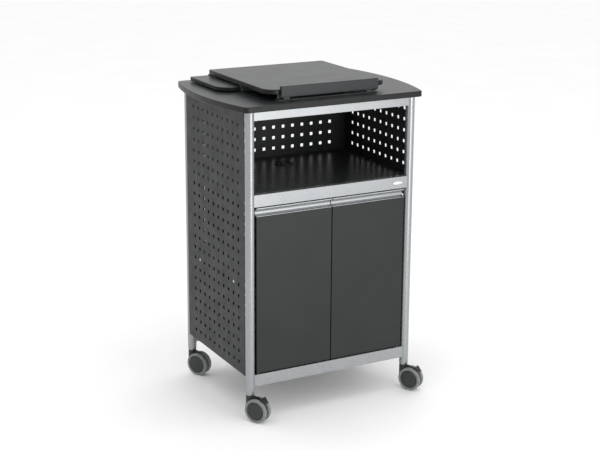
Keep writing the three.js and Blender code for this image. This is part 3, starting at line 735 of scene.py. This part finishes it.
def caster_frame(corner):
    """The caster's own frame: origin on the floor under its post, wheels trailing towards -Y."""
    low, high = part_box("post_" + corner)
    place = (low + high) / 2
    return Matrix.Translation((place.x, place.y, 0)) @ Matrix.Rotation(CASTER_YAW, 4, "Z")


def wheel_turn(corner, which):
    """Places a profile's +Z along the axle, outwards from the hood."""
    outward = 1 if corner.endswith("right") else -1
    if which == "inner":
        outward = -outward
    turn = Matrix.Rotation(outward * math.pi / 2, 4, "Y")
    move = Matrix.Translation((outward * WHEEL_GAP / 2, -CASTER_TRAIL, WHEEL_RADIUS))
    return caster_frame(corner) @ move @ turn


def build_wheel(corner, which):
    node = "wheel_" + which + "_" + corner
    turn = wheel_turn(corner, which)
    width = WHEEL_WIDTH
    inner, outer = TREAD_INNER_ROUND, TREAD_OUTER_ROUND
    tread = [(TREAD_BORE, 0.4 * MM), (WHEEL_RADIUS - inner, 0.0)]
    tread += arc((WHEEL_RADIUS - inner, inner), inner, -75, 0, 5)
    tread += arc((WHEEL_RADIUS - outer, width - 0.6 * MM - outer), outer, 0, 90, 9)
    tread += [(30.2 * MM, width - 0.4 * MM), (29.4 * MM, width - 1.4 * MM)]
    tread += [(TREAD_BORE, width - 3 * MM), (TREAD_BORE, 0.4 * MM)]
    ring = turned(node + "_tread", tread, turn, WHEEL_STEPS)
    shade(ring)
    settle(ring, node, "tread", node)
    # The hub's back with the axle's bore, its rim, a groove, a dished face and the cap
    hub = [(0, 9.5 * MM), (4.3 * MM, 9.5 * MM), (4.3 * MM, 0.6 * MM), (HUB_RADIUS, 0.6 * MM)]
    hub += [(HUB_RADIUS, width - 2.4 * MM), (28 * MM, width - 1.5 * MM)]
    hub += [(26.6 * MM, width - 1.2 * MM)]
    hub += [(26.0 * MM, width - 1.7 * MM), (24.8 * MM, width - 1.7 * MM), (24.2 * MM, width - 1.2 * MM)]
    hub += [(14 * MM, width - 0.5 * MM), (13.4 * MM, width - 0.9 * MM), (12.4 * MM, width - 0.9 * MM)]
    hub += [(11.8 * MM, width - 0.4 * MM), (6 * MM, width - 0.15 * MM), (0, width - 0.05 * MM)]
    disc = turned(node + "_hub", hub, turn, WHEEL_STEPS)
    shade(disc)
    settle(disc, node, "hub")


def build_brake(corner):
    """The lever's barrel and neck, and a thin foot pad that narrows to an upturned tip."""
    node = "brake_lever_" + corner
    pivot = Vector((CASTER_TRAIL + BRAKE_PIVOT_AHEAD, 2 * WHEEL_RADIUS - BRAKE_PIVOT_INSIDE))
    bm = bmesh.new()
    for outline, half_width in (
        (arc((0, 0), BRAKE_BARREL_RADIUS, 0, 345, 23), BRAKE_WEB / 2),
        ([(x * MM, z * MM) for x, z in BRAKE_NECK], BRAKE_WEB / 2),
        ([(x * MM, z * MM) for x, z in BRAKE_PAD], BRAKE_PAD_WIDTH / 2),
    ):
        placed = [(-(pivot.x + x), pivot.y + z) for x, z in outline]
        prism(bm, placed, -half_width, half_width, along_x)
    tip = pivot.x + BRAKE_TAPER_START
    for vert in bm.verts:
        vert.co.x *= 1 - BRAKE_TAPER * max(0, (-vert.co.y - tip) / BRAKE_TAPER_LENGTH)
    bmesh.ops.transform(bm, matrix=caster_frame(corner), verts=bm.verts)
    obj = add_object(node + "_looks", mesh_from(node + "_looks", bm))
    soften(obj, 0.6 * MM, 3)
    settle(obj, body_of_node(node), "plastic", node)


def build_casters():
    for corner in CORNERS:
        refined("caster_hood_" + corner, "plastic", 0.8 * MM, 2)
        refined("caster_axle_" + corner, "zinc", 0.4 * MM)
        for which in ("inner", "outer"):
            build_wheel(corner, which)
        if corner.startswith("front"):
            build_brake(corner)


# ---------------------------------------------------------------- stage


def build_floor():
    bm = bmesh.new()
    bmesh.ops.create_grid(bm, x_segments=1, y_segments=1, size=30)
    floor = add_object("floor", mesh_from("floor", bm))
    floor.location.z = cad_bounds[0][2] - 0.2 * MM
    s = Surface("floor_paint")
    s.colour(s.colours(s.noise(3), (0.955, 0.955, 0.955), (0.975, 0.975, 0.975)))
    s.roughness(s.ramp(s.noise(20), 0.6, 0.7))
    floor.data.materials.append(s.material)


def area_light(name, location, target, size, power):
    data = bpy.data.lights.new(name, "AREA")
    data.shape = "RECTANGLE"
    data.size, data.size_y = size
    data.energy = power
    light = add_object(name, data)
    light.location = location
    light.rotation_euler = (Vector(target) - Vector(location)).to_track_quat("-Z", "Y").to_euler()
    return light


def build_lights():
    world = bpy.data.worlds.new("studio")
    world.use_nodes = True
    background = world.node_tree.nodes["Background"]
    background.inputs["Color"].default_value = (1.0, 1.0, 1.0, 1)
    background.inputs["Strength"].default_value = 1.0
    bpy.context.scene.world = world
    area_light("key", (1.25, -2.75, 1.15), (0, 0, 0.7), (0.9, 2.3), 12)
    strip = area_light("strip", (0.2, -2.1, 0.66), (0, 0, 0.62), (0.26, 1.26), 9)
    strip.visible_camera = False
    area_light("overhead", (0, 0.4, 4.0), (0, 0.4, 0), (4.0, 4.0), 30)


def build_camera():
    data = bpy.data.cameras.new("camera")
    data.sensor_width = 36
    data.lens = 82.27
    data.shift_y = -0.06
    camera = add_object("camera", data)
    camera.location = (-1.9893, -3.6741, 1.7295)
    turn = Matrix.Rotation(math.radians(-28.43), 4, "Z")
    turn @= Matrix.Rotation(math.radians(90 - 14.52), 4, "X")
    turn @= Matrix.Rotation(math.radians(0.36), 4, "Z")
    camera.rotation_euler = turn.to_euler()
    bpy.context.scene.camera = camera


build_camera()
build_posts()
build_rails()
build_badge()
build_panels()
build_tops()
build_shelves()
build_doors()
build_inner_fittings()
build_mechanism()
build_casters()
build_floor()
build_lights()
bpy.context.scene.view_settings.view_transform = "Standard"
